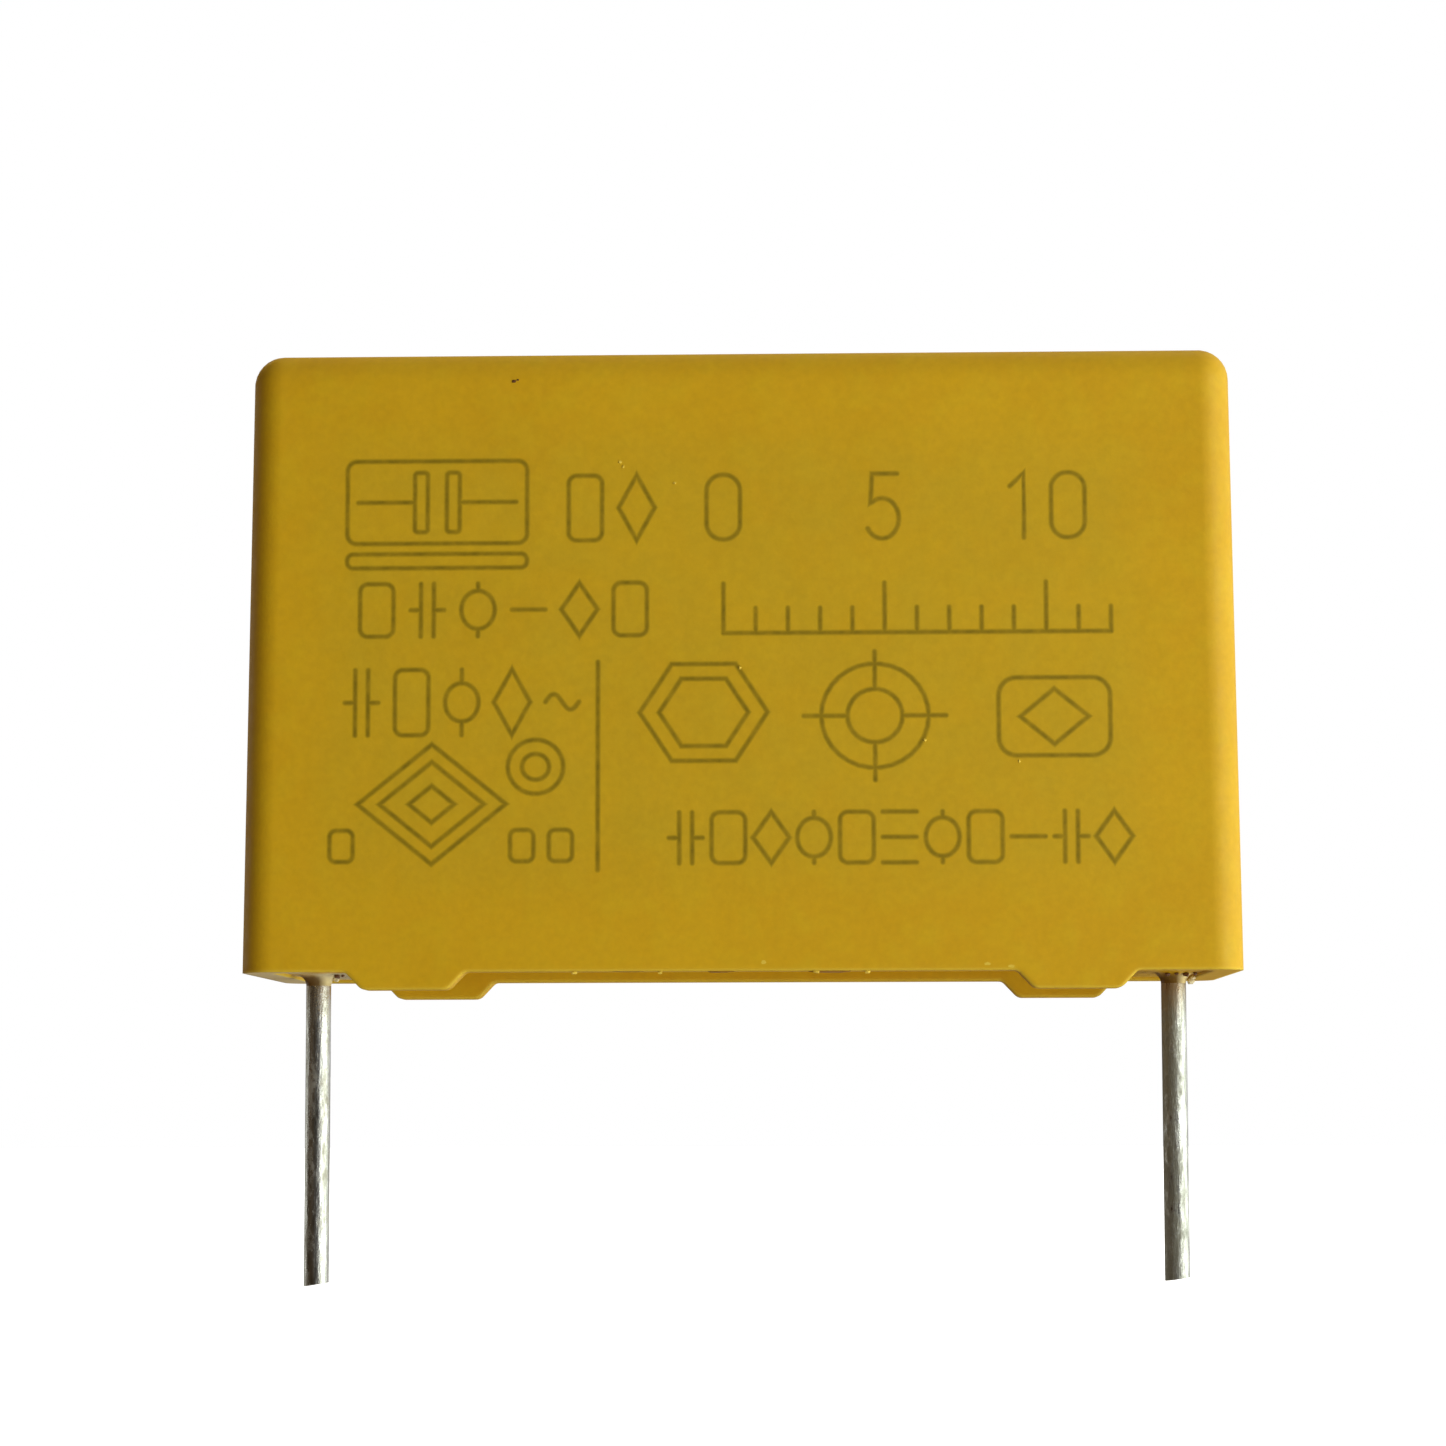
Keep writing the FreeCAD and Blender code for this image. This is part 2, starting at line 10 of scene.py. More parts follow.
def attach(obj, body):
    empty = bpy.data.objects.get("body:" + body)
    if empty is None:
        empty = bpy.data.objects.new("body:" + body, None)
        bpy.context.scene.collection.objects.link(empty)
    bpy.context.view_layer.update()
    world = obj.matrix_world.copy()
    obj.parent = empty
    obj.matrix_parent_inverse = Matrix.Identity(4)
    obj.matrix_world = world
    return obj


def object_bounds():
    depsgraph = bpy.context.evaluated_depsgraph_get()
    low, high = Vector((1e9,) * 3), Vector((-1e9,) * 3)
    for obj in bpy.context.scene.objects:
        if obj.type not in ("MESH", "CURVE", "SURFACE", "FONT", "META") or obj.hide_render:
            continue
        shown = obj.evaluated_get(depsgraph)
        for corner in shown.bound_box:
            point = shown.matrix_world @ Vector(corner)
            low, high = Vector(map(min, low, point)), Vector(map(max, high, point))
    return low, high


# Looks of the box film capacitor: yellow moulded case, cast resin, tinned leads and a plain
# generic marking. Lengths and places are in millimetres, and MM turns them into metres.
MM = 0.001

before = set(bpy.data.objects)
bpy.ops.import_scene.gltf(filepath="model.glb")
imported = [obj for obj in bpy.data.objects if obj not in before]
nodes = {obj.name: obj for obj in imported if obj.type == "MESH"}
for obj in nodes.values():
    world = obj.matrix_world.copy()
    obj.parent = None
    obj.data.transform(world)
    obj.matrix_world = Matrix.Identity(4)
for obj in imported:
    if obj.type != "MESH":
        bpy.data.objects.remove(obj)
cad_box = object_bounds()
scene = bpy.context.scene

# Distance of each lead's axis from the middle of the case
LEAD_HALF_PITCH = 13.75

WHITE = (1.0, 1.0, 1.0, 1.0)

# Camera: where it stands, how it is turned (radians), its lens, and how near and far it sees
EYE = Vector((2.8324, -121.0333, -3.5707)) * MM
YAW = -0.0290115
PITCH = 0.1015388
ROLL = -0.0022542
FOCAL_PIXELS = 3756.2
FRAME_PIXELS = 1446
SENSOR = 36.0
NEAREST = 1.0
FARTHEST = 10000.0


def make_camera():
    """The camera at the photograph's viewing angle, from the front and a little below."""
    forward = Vector((math.sin(YAW) * math.cos(PITCH), math.cos(YAW) * math.cos(PITCH), math.sin(PITCH)))
    level = forward.cross(Vector((0, 0, 1))).normalized()
    upright = level.cross(forward)
    right = math.cos(ROLL) * level + math.sin(ROLL) * upright
    up = math.cos(ROLL) * upright - math.sin(ROLL) * level
    data = bpy.data.cameras.new("camera")
    data.sensor_width = SENSOR
    data.lens = FOCAL_PIXELS / FRAME_PIXELS * SENSOR
    data.clip_start = NEAREST * MM
    data.clip_end = FARTHEST * MM
    camera = bpy.data.objects.new("camera", data)
    turn = Matrix((right, up, -forward)).transposed()
    camera.matrix_world = Matrix.Translation(EYE) @ turn.to_4x4()
    scene.collection.objects.link(camera)
    scene.camera = camera


# Node helpers

def node(tree, kind, inputs=None, **settings):
    """Add a shader node, set its properties and fill its inputs with values or links."""
    made = tree.nodes.new(kind)
    for name, value in settings.items():
        setattr(made, name, value)
    for name, value in (inputs or {}).items():
        if isinstance(value, bpy.types.NodeSocket):
            tree.links.new(value, made.inputs[name])
        else:
            made.inputs[name].default_value = value
    return made


def in_millimetres(tree, stretch=(1, 1, 1)):
    """The point on the part in millimetres, with an axis squeezed where a pattern is drawn out."""
    place = node(tree, "ShaderNodeTexCoord").outputs["Object"]
    scale = [axis / MM for axis in stretch]
    return node(tree, "ShaderNodeMapping", {"Vector": place, "Scale": scale}).outputs["Vector"]


def split(tree, vector):
    """The X, Y and Z of a vector."""
    return node(tree, "ShaderNodeSeparateXYZ", {"Vector": vector}).outputs


def noise(tree, vector, scale, detail=3.0, roughness=0.5):
    """Cloudy noise from 0 to 1, with that many blobs to the millimetre."""
    inputs = {"Vector": vector, "Scale": scale, "Detail": detail, "Roughness": roughness}
    return node(tree, "ShaderNodeTexNoise", inputs).outputs["Fac"]


def span(tree, value, low, high, to_low=0.0, to_high=1.0, smooth=False):
    """Stretch a value from one range to another, held at the ends."""
    inputs = {"Value": value, "From Min": low, "From Max": high, "To Min": to_low, "To Max": to_high}
    curve = "SMOOTHSTEP" if smooth else "LINEAR"
    return node(tree, "ShaderNodeMapRange", inputs, interpolation_type=curve).outputs["Result"]


def calculate(tree, operation, first, second):
    """One sum, product or other operation on two values."""
    return node(tree, "ShaderNodeMath", {0: first, 1: second}, operation=operation).outputs["Value"]


def measure(tree, operation, *vectors):
    """One number worked out from vectors, such as a length."""
    inputs = dict(enumerate(vectors))
    return node(tree, "ShaderNodeVectorMath", inputs, operation=operation).outputs["Value"]


def blend(tree, factor, first, second, mode="MIX"):
    """Mix two colours by a factor."""
    made = node(tree, "ShaderNodeMix", data_type="RGBA", blend_type=mode)
    factor_socket, first_socket, second_socket = made.inputs[0], made.inputs[6], made.inputs[7]
    for socket, value in ((factor_socket, factor), (first_socket, first), (second_socket, second)):
        if isinstance(value, bpy.types.NodeSocket):
            tree.links.new(value, socket)
        else:
            socket.default_value = value
    return made.outputs[2]


def bumped(tree, height, distance):
    """A surface normal that follows a height, one unit of which is that many millimetres."""
    inputs = {"Height": height, "Distance": distance * MM, "Strength": 1.0}
    return node(tree, "ShaderNodeBump", inputs).outputs["Normal"]


def new_material(name, **fixed):
    """A material with a principled shader whose constant sockets are set straight on it."""
    material = bpy.data.materials.new(name)
    material.use_nodes = True
    shader = material.node_tree.nodes["Principled BSDF"]
    for socket, value in fixed.items():
        shader.inputs[socket.replace("_", " ")].default_value = value
    return material, material.node_tree, shader


def wire_up(tree, shader, **sources):
    """Link computed values to the shader's sockets."""
    for socket, source in sources.items():
        tree.links.new(source, shader.inputs[socket.replace("_", " ")])


def dress(piece, material):
    """Give a piece its one material."""
    piece.data.materials.clear()
    piece.data.materials.append(material)


# The stretch of a noise that is drawn out to its full range, soft or with more contrast, and the
# middle that it varies about
SOFT = (0.3, 0.7)
CRISP = (0.35, 0.65)
NOISE_MIDDLE = 0.5

# Moulded plastic, in linear colours: its yellow, the deeper and greener drift in it, duller round
# the marking, a painted highlight that makes edges paler, and the olive of the marking
PLASTIC = {"IOR": 1.5, "Specular_IOR_Level": 0.25}
YELLOW = (0.634, 0.362, 0.0072, 1.0)
YELLOW_DEEP = (0.608, 0.336, 0.0062, 1.0)
YELLOW_GREEN = (0.624, 0.374, 0.0080, 1.0)
YELLOW_DULL = (0.545, 0.345, 0.0120, 1.0)
YELLOW_EDGE_HIGHLIGHT = (0.800, 0.560, 0.0500, 1.0)
MARK_OLIVE = (0.220, 0.145, 0.0030, 1.0)

# Patterns in the plastic: blobs to the millimetre, detail and roughness
DEEP_DRIFT = (0.22, 2.0)
GREEN_DRIFT = (0.9, 3.0)
FIELD_CLOUDS = (0.8, 3.0)
FINE_MOTTLE = (4.0, 4.0, 0.6)
FINE_GRAIN = (9.0, 3.0, 0.6)
SLOW_WAVES = (0.45, 2.0)
SATIN_PATCHES = (2.2, 4.0)
MARK_PATCHES = (3.0, 4.0, 0.6)

# How those patterns show: where the green sets in and is full, brightness of the mottling, depth
# of the dull field, roughness, depth of the ink, and where it starts and is full across a stroke
GREEN_RANGE = (0.45, 0.75)
MOTTLE_LEVELS = (0.955, 1.045)
FIELD_LEVELS = (0.50, 0.95)
PLASTIC_ROUGHNESS = (0.46, 0.58)
MARK_LEVELS = (0.66, 1.0)
MARK_EDGE = (0.1, 0.9)

# Duller field round the marking: its four sides, the front it lies on and its soft margin
FIELD_LEFT, FIELD_RIGHT = -12.9, 12.3
FIELD_LOW, FIELD_HIGH = 3.3, 17.0
FIELD_FRONT = -4.9
FIELD_MARGIN = 2.6

# Relief of the plastic: height of grain and waves, how strongly they show, and the soft edges
GRAIN_HEIGHT = 0.006
WAVE_HEIGHT = 0.05
RELIEF_STRENGTH = 0.6
EDGE_RADIUS = 0.22

# Painted highlight along edges: cosine of the turn where it sets in and is full, and its strength
EDGE_TURN = (0.99, 0.86)
EDGE_HIGHLIGHT_STRENGTH = 0.75

# Film of resin under the rim: how far to the left it sets in and is full, how deep it is, and
# which faces count as the underside
FILM_RANGE = (13.6, 14.4)
FILM_DEPTH = 0.8
UNDERSIDE = (-0.5, -0.9)


def marked_field(tree, place):
    """How far the front face is dulled round the marking, from 0 to 1, cloudy and soft at the ends."""
    sides = split(tree, place)
    field = span(tree, noise(tree, place, *FIELD_CLOUDS), *CRISP, *FIELD_LEVELS)
    for axis, edge, way in (("X", FIELD_LEFT, 1), ("X", FIELD_RIGHT, -1), ("Z", FIELD_LOW, 1),
                            ("Z", FIELD_HIGH, -1), ("Y", FIELD_FRONT, -1)):
        reach = way * FIELD_MARGIN / 2
        inside = span(tree, sides[axis], edge - reach, edge + reach, smooth=True)
        field = calculate(tree, "MULTIPLY", field, inside)
    return field


def plastic_colour(tree):
    """Colour of the moulded plastic: slow drift of hue, a duller marked field and fine mottling."""
    place = in_millimetres(tree)
    drift = span(tree, noise(tree, place, *DEEP_DRIFT), *CRISP)
    colour = blend(tree, drift, YELLOW, YELLOW_DEEP)
    tint = span(tree, noise(tree, place, *GREEN_DRIFT), *GREEN_RANGE)
    colour = blend(tree, tint, colour, YELLOW_GREEN)
    colour = blend(tree, marked_field(tree, place), colour, YELLOW_DULL)
    mottle = span(tree, noise(tree, place, *FINE_MOTTLE), *SOFT, *MOTTLE_LEVELS)
    grey = node(tree, "ShaderNodeCombineColor", {"Red": mottle, "Green": mottle, "Blue": mottle})
    return blend(tree, 1.0, colour, grey.outputs["Color"], "MULTIPLY")


def plastic_roughness(tree, place):
    """Satin sheen of the plastic, uneven in small patches."""
    return span(tree, noise(tree, place, *SATIN_PATCHES), *SOFT, *PLASTIC_ROUGHNESS)


def plastic_material():
    """Satin moulded plastic: faint waviness, fine grain, and soft edges paler than the faces as a painted
    highlight.

    A dull film of resin lies on the underside of the rim at the left end.
    """
    material, tree, shader = new_material("case_plastic", **PLASTIC)
    place = in_millimetres(tree)
    grain = noise(tree, place, *FINE_GRAIN)
    waves = noise(tree, place, *SLOW_WAVES)
    fine_relief = calculate(tree, "MULTIPLY", grain, GRAIN_HEIGHT)
    slow_relief = calculate(tree, "MULTIPLY", waves, WAVE_HEIGHT)
    height = calculate(tree, "ADD", fine_relief, slow_relief)
    roughness = plastic_roughness(tree, place)
    soft_edges = node(tree, "ShaderNodeBevel", {"Radius": EDGE_RADIUS * MM}, samples=8).outputs["Normal"]
    relief = {"Height": height, "Distance": MM, "Strength": RELIEF_STRENGTH, "Normal": soft_edges}
    normal = node(tree, "ShaderNodeBump", relief).outputs["Normal"]
    facing = node(tree, "ShaderNodeNewGeometry").outputs["Normal"]
    below = span(tree, split(tree, facing)["Z"], *UNDERSIDE)
    leftward = calculate(tree, "MULTIPLY", split(tree, place)["X"], -1.0)
    near_end = span(tree, calculate(tree, "ADD", leftward, waves), *FILM_RANGE, 0.0, FILM_DEPTH)
    film = calculate(tree, "MULTIPLY", below, near_end)
    turned = measure(tree, "DOT_PRODUCT", soft_edges, facing)
    # Painted highlight: edges turn paler where the soft-edge normal leaves the face's normal
    edge = span(tree, turned, *EDGE_TURN, 0.0, EDGE_HIGHLIGHT_STRENGTH)
    colour = blend(tree, edge, plastic_colour(tree), YELLOW_EDGE_HIGHLIGHT)
    colour = blend(tree, film, colour, RESIN_PALE)
    wire_up(tree, shader, Base_Color=colour, Roughness=roughness, Normal=normal)
    return material


# Cast resin, in linear colours: thin over the plastic, in pale patches, and painted shade and highlight
# by a lead
RESIN_AMBER = (0.620, 0.345, 0.0060, 1.0)
RESIN_PALE = (0.600, 0.500, 0.2900, 1.0)
RESIN_STAIN_AND_SHADE = (0.120, 0.062, 0.0160, 1.0)
RESIN_HIGHLIGHT_CREAM = (0.700, 0.560, 0.2700, 1.0)

# Patterns in the resin: blobs to the millimetre and detail
PALE_PATCHES = (0.55, 4.0)
BROWN_STAINS = (2.2, 4.0)
GLOSS_PATCHES = (3.0, 3.0)
RESIN_RIPPLES = (0.8, 3.0)

# How they show: where pale and brown set in and are full, roughness, and height of the ripples
PALE_RANGE = (0.42, 0.66)
STAIN_RANGE = (0.63, 0.77)
RESIN_ROUGHNESS = (0.22, 0.40)
RIPPLE_HEIGHT = 0.12

# The resin is paler towards the left: from one X to another, what is added to the patches
PALE_LEAN = (-14.0, 11.0, 0.16, -0.30)

# Ring of resin round each lead: radii where it starts to fade and is gone, its depth at each, how
# uneven its rim is, and how far right of the lead's axis brown stain and painted shade turn into a cream
# painted highlight
ROOT_RING = (0.66, 0.92, 0.92, 0.0)
ROOT_UNEVENNESS = 0.5
ROOT_SHADE_TO_HIGHLIGHT = (0.05, 0.30)


def across_lead(tree, x):
    """How far a point lies to the right of the axis of the nearer lead, in millimetres."""
    side = calculate(tree, "SIGN", x, 0.0)
    return calculate(tree, "SUBTRACT", x, calculate(tree, "MULTIPLY", side, LEAD_HALF_PITCH))


def resin_material():
    """Glossy cast resin: amber over the plastic and paler in patches.

    Round each lead it is brown on the left, stain and painted shade, and cream on the right, a painted
    highlight.
    """
    material, tree, shader = new_material("resin", IOR=1.5, Specular_IOR_Level=0.12)
    place = in_millimetres(tree)
    sides = split(tree, place)
    patch = noise(tree, place, *PALE_PATCHES)
    pale = calculate(tree, "ADD", patch, span(tree, sides["X"], *PALE_LEAN))
    colour = blend(tree, span(tree, pale, *PALE_RANGE), RESIN_AMBER, RESIN_PALE)
    stain = span(tree, noise(tree, place, *BROWN_STAINS), *STAIN_RANGE)
    colour = blend(tree, stain, colour, RESIN_STAIN_AND_SHADE)
    off_lead = across_lead(tree, sides["X"])
    off_axis = node(tree, "ShaderNodeCombineXYZ", {"X": off_lead, "Y": sides["Y"]}).outputs["Vector"]
    radius = measure(tree, "LENGTH", off_axis)
    uneven = calculate(tree, "MULTIPLY", patch, ROOT_UNEVENNESS)
    ring_width = calculate(tree, "ADD", radius, uneven)
    # Painted light: brown shade on the left of the lead's axis turns into a cream painted highlight on
    # its right
    root = blend(tree, span(tree, off_lead, *ROOT_SHADE_TO_HIGHLIGHT), RESIN_STAIN_AND_SHADE, RESIN_HIGHLIGHT_CREAM)
    colour = blend(tree, span(tree, ring_width, *ROOT_RING, smooth=True), colour, root)
    roughness = span(tree, noise(tree, place, *GLOSS_PATCHES), *SOFT, *RESIN_ROUGHNESS)
    ripples = bumped(tree, noise(tree, place, *RESIN_RIPPLES), RIPPLE_HEIGHT)
    wire_up(tree, shader, Base_Color=colour, Roughness=roughness, Normal=ripples)
    return material


# The two wires: share of dull patches, strength of painted shade to the left and highlight to the right,
# roughness where it is bright, linear colours of bright and dull tin, depth of the relief and of the
# root's stain
WIRES = {
    "left": {"dirt": 0.435, "shade_lean": 0.0, "shine": 0.18, "tin_light": (0.95, 0.95, 0.90, 1.0),
             "tin_dull": (0.40, 0.38, 0.31, 1.0), "relief": 0.026, "root_stain": 0.40},
    "right": {"dirt": 0.475, "shade_lean": 0.09, "shine": 0.22, "tin_light": (0.90, 0.89, 0.84, 1.0),
              "tin_dull": (0.27, 0.26, 0.21, 1.0), "relief": 0.040, "root_stain": 0.85},
}
TIN_GREY = (0.40, 0.39, 0.35, 1.0)
ROOT_BROWN = (0.27, 0.165, 0.065, 1.0)

# Patterns along a wire: how far drawn out, blobs to the millimetre, detail and roughness
WIRE_STREAKS = (0.12, 5.0, 4.0, 0.65)
WIRE_FLECKS = (0.45, 3.6, 5.0, 0.7)
WIRE_PATCHES = (0.3, 0.9, 3.0, 0.6)

# How they show: shares of flecks and patches, softness of a patch, where the painted shade-to-highlight
# lean sets in and is full across the wire, where the stain sets in and is full up the wire and over its
# flecks
FLECK_SHARE = 0.65
PATCH_SHARE = 0.35
PATCH_SOFTNESS = 0.07
SHADE_LEAN_RANGE = (-0.05, 0.25)
ROOT_HEIGHTS = (-2.2, 0.2)
ROOT_RANGE = (0.55, 1.05)

# Metal of the wires: least and most metallic, what the stain takes from it, roughness that the
# streaks add, and how much rougher dull tin is
WIRE_METALLIC = (0.55, 1.0)
STAIN_LOSS = 0.3
STREAK_ROUGHNESS = (-0.06, 0.1)
DULL_ROUGHNESS = 0.2


def drawn_out(tree, squeeze, *pattern):
    """Noise drawn out along the wires."""
    return noise(tree, in_millimetres(tree, (1, 1, squeeze)), *pattern)


def wire_material(name, dirt, shade_lean, shine, tin_light, tin_dull, relief, root_stain):
    """Tinned wire: bright tin with duller oxidised patches and a brown stained root.

    The lean paints it darker on the left as painted shade and brighter on the right as a painted
    highlight.
    """
    material, tree, shader = new_material(name, Anisotropic=0.3)
    sides = split(tree, in_millimetres(tree))
    streak = drawn_out(tree, *WIRE_STREAKS)
    fleck = drawn_out(tree, *WIRE_FLECKS)
    patch = drawn_out(tree, *WIRE_PATCHES)
    tin = blend(tree, span(tree, streak, *CRISP), TIN_GREY, tin_light)
    flecks = calculate(tree, "MULTIPLY", fleck, FLECK_SHARE)
    patches = calculate(tree, "MULTIPLY", patch, PATCH_SHARE)
    cloudy = calculate(tree, "ADD", flecks, patches)
    # Painted light: dull dark tin leans to the wire's left as painted shade, bright clean tin to its
    # right as a painted highlight
    painted_light_lean = span(tree, across_lead(tree, sides["X"]), *SHADE_LEAN_RANGE, -shade_lean, shade_lean)
    dirt_and_light = calculate(tree, "ADD", cloudy, painted_light_lean)
    clean_and_lit = span(tree, dirt_and_light, dirt - PATCH_SOFTNESS, dirt + PATCH_SOFTNESS)
    colour = blend(tree, clean_and_lit, tin_dull, tin)
    uneven = calculate(tree, "SUBTRACT", fleck, NOISE_MIDDLE)
    near_root = calculate(tree, "ADD", span(tree, sides["Z"], *ROOT_HEIGHTS), uneven)
    stain = span(tree, near_root, *ROOT_RANGE, 0.0, root_stain)
    colour = blend(tree, stain, colour, ROOT_BROWN)
    bare_metal = span(tree, clean_and_lit, 0.0, 1.0, *WIRE_METALLIC)
    covered = calculate(tree, "MULTIPLY", stain, STAIN_LOSS)
    metallic = calculate(tree, "SUBTRACT", bare_metal, covered)
    dullness = span(tree, clean_and_lit, 0.0, 1.0, shine + DULL_ROUGHNESS, shine)
    roughness = calculate(tree, "ADD", span(tree, streak, *SOFT, *STREAK_ROUGHNESS), dullness)
    normal = bumped(tree, calculate(tree, "ADD", streak, fleck), relief)
    wire_up(tree, shader, Base_Color=colour, Metallic=metallic, Roughness=roughness, Normal=normal)
    return material


# Materials of the inside, in linear colours: light and dark shade and how they shine
METALLISED_FILM = {"light": (0.62, 0.63, 0.66, 1.0), "dark": (0.38, 0.39, 0.42, 1.0), "metallic": 0.8}
PLAIN_FILM = {"light": (0.82, 0.82, 0.78, 1.0), "dark": (0.66, 0.66, 0.62, 1.0), "metallic": 0.0}
FILM_LAYERS = (14.0, 2.0)
FILM_STRETCH = (0.02, 1, 1)
FILM_ROUGHNESS = (0.22, 0.38)
LAYER_HEIGHT = 0.02
SPRAYED_METAL = {"light": (0.56, 0.56, 0.57, 1.0), "dark": (0.30, 0.30, 0.31, 1.0),
                 "scale": 5.0, "roughness_levels": (0.5, 0.75), "depth": 0.12}
SOLDER = {"light": (0.70, 0.70, 0.70, 1.0), "dark": (0.45, 0.45, 0.45, 1.0),
          "scale": 1.5, "roughness_levels": (0.18, 0.35), "depth": 0.06}
METAL_GRAIN = (5.0, 0.65)


def film_material(name, light, dark, metallic):
    """Wound film: thin layers that show as close lines round the flat roll."""
    material, tree, shader = new_material(name, Metallic=metallic, Coat_Weight=0.3)
    layers = noise(tree, in_millimetres(tree, FILM_STRETCH), *FILM_LAYERS)
    colour = blend(tree, layers, dark, light)
    roughness = span(tree, layers, *SOFT, *FILM_ROUGHNESS)
    normal = bumped(tree, layers, LAYER_HEIGHT)
    wire_up(tree, shader, Base_Color=colour, Roughness=roughness, Normal=normal)
    return material


def grainy_metal(name, light, dark, scale, roughness_levels, depth):
    """Rough metal such as a sprayed coat or a cooled mound of solder."""
    material, tree, shader = new_material(name, Metallic=1.0)
    grain = noise(tree, in_millimetres(tree), scale, *METAL_GRAIN)
    colour = blend(tree, span(tree, grain, *SOFT), dark, light)
    roughness = span(tree, grain, *SOFT, *roughness_levels)
    wire_up(tree, shader, Base_Color=colour, Roughness=roughness, Normal=bumped(tree, grain, depth))
    return material


def dress_cad_nodes():
    """Materials of the case, the resin, the leads and all that they hold inside."""
    dress(nodes["case"], plastic_material())
    dress(nodes["potting_resin"], resin_material())
    for side, looks in WIRES.items():
        dress(nodes[f"lead_{side}"], wire_material(f"tinned_wire_{side}", **looks))
    dress(nodes["film_winding"], film_material("metallised_film", **METALLISED_FILM))
    dress(nodes["cover_film"], film_material("plain_film", **PLAIN_FILM))
    spray = grainy_metal("sprayed_metal", **SPRAYED_METAL)
    solder = grainy_metal("solder", **SOLDER)
    for side in WIRES:
        dress(nodes[f"end_spray_{side}"], spray)
        dress(nodes[f"solder_joint_{side}"], solder)


# Marking on the front face, in x and z. A stroke is (points, closed) and becomes a soft thin line:
# half its width, how far its middle stands off the face and its edges are sunk in. Then steps in
# a round end, degrees in a step of an arc, steps in half a wave, and how far a sharp corner is cut
STROKE_HALF = 0.14
STROKE_PROUD = 0.0015
STROKE_SUNK = 0.0005
CAP_STEPS = 5
ARC_STEP = 12
SINE_STEPS = 12
MITRE_LIMIT = 0.5

# Plain signs: width, corners of a frame, breadth of a diamond and height of a ring as shares of
# that width, height of a wave, and how far two bars stand from the middle
SIGN_WIDTH = 1.04
FRAME_CORNER = 0.25
DIAMOND_BREADTH = 1.08
RING_HEIGHT = 1.15
SINE_HEIGHT = 0.24
BAR_OFFSET = 0.2

# Rows of plain signs: first centre, pitch, lower edge, upper edge and the signs
SIGN_ROWS = [
    (-4.80, 1.60, 13.96, 16.00, ("frame", "diamond")),
    (-11.30, 1.58, 10.97, 12.62, ("frame", "bars", "ring", "dash", "diamond", "frame")),
    (-11.75, 1.56, 7.88, 9.92, ("bars", "frame", "ring", "diamond", "wave")),
    (-1.68, 1.32, 3.87, 5.44, ("bars", "frame", "diamond", "ring", "frame", "lines", "ring", "frame",
                               "dash", "bars", "diamond")),
]

# Scale of plain millimetres: start, height of its base line, length, short and long ticks
SCALE_START = -0.50
SCALE_BASE = 11.02
SCALE_LENGTH = 12
SCALE_LONG_EVERY = 5
SHORT_TICK = 0.78
LONG_TICK = 1.55

# Plain numerals: height of the line they stand on, their own height and pitch
NUMERAL_BASE = 13.96
NUMERAL_HEIGHT = 2.04
NUMERAL_PITCH = 1.42

# Corners of a 0, as a share of half its width; stem and flag of a 1; and of a 5 the bowl, its
# shift, angles and half height, and the ends of bar and neck as shares of half width and height
ZERO_CORNER = 0.96
ONE_STEM = 0.05
ONE_FLAG = 0.38
ONE_FLAG_DROP = 0.42
FIVE_BOWL_SHIFT = 0.06
FIVE_BOWL_ANGLES = (125, -150)
FIVE_BOWL_HALF = 0.31
FIVE_BAR_RIGHT = 0.8
FIVE_BAR_LEFT = 0.7
FIVE_NECK_LEFT = 0.8
FIVE_NECK_HEIGHT = 0.55

# Capacitor symbol: middle, half sizes and corners of its frame and plates, how far the plates and
# the wires' ends are from the middle, and the thin bar under the frame
SYMBOL_MIDDLE = (-9.43, 15.19)
SYMBOL_FRAME = (2.81, 1.30, 0.3)
SYMBOL_PLATE = (0.2, 0.94, 0.1)
SYMBOL_BAR = (2.81, 0.22, 0.2)
SYMBOL_BAR_MIDDLE = 13.34
PLATE_OFFSET = 0.5
WIRE_REACH = 2.47

# Upright line that divides the lower marks: x, lower and upper end
DIVIDER = (-4.40, 3.67, 10.14)

# Outline marks: middle, corners (none for a ring), then half width and height of each outline
HEXAGONS = ((-1.12, 8.55), 6, (1.98, 1.74), (1.38, 1.21))
TARGET = ((4.18, 8.42), 0, (1.66, 1.62), (0.85, 0.83))
BOXED_DIAMOND = ((9.72, 8.37), 4, (1.05, 0.86))
DIAMONDS = ((-9.55, 5.73), 4, (2.30, 1.86), (1.62, 1.31), (0.70, 0.57))
SMALL_RINGS = ((-6.33, 6.88), 0, (0.86, 0.84), (0.42, 0.40))

# Arms of the target: from the middle to their inner and outer ends, sideways and upright
ARM_START = 0.85
ARM_ACROSS = 2.2
ARM_UP = 2.0

# Box round a diamond, and small boxes in a row: half width, half height and corner radius
DIAMOND_BOX = (1.72, 1.21, 0.55)
SMALL_BOX = (0.36, 0.485, 0.2)
SMALL_BOX_PLACES = (-12.35, -6.75, -5.55)
SMALL_BOX_MIDDLE = 4.435


def line(start, end):
    """A straight stroke."""
    return [start, end], False


def arc(centre, across, up, start, end):
    """Points along an upright ellipse between two angles in degrees."""
    count = max(2, round(abs(end - start) / ARC_STEP))
    angles = [math.radians(start + (end - start) * step / count) for step in range(count + 1)]
    return [(centre[0] + across * math.cos(a), centre[1] + up * math.sin(a)) for a in angles]


def ring(centre, across, up):
    """A closed ellipse."""
    return arc(centre, across, up, 0, 360)[:-1], True


def box(centre, across, up, radius):
    """A closed rectangle with round corners."""
    points = []
    for right, top, start in ((1, -1, 270), (1, 1, 0), (-1, 1, 90), (-1, -1, 180)):
        corner = (centre[0] + right * (across - radius), centre[1] + top * (up - radius))
        points += arc(corner, radius, radius, start, start + 90)
    return points, True


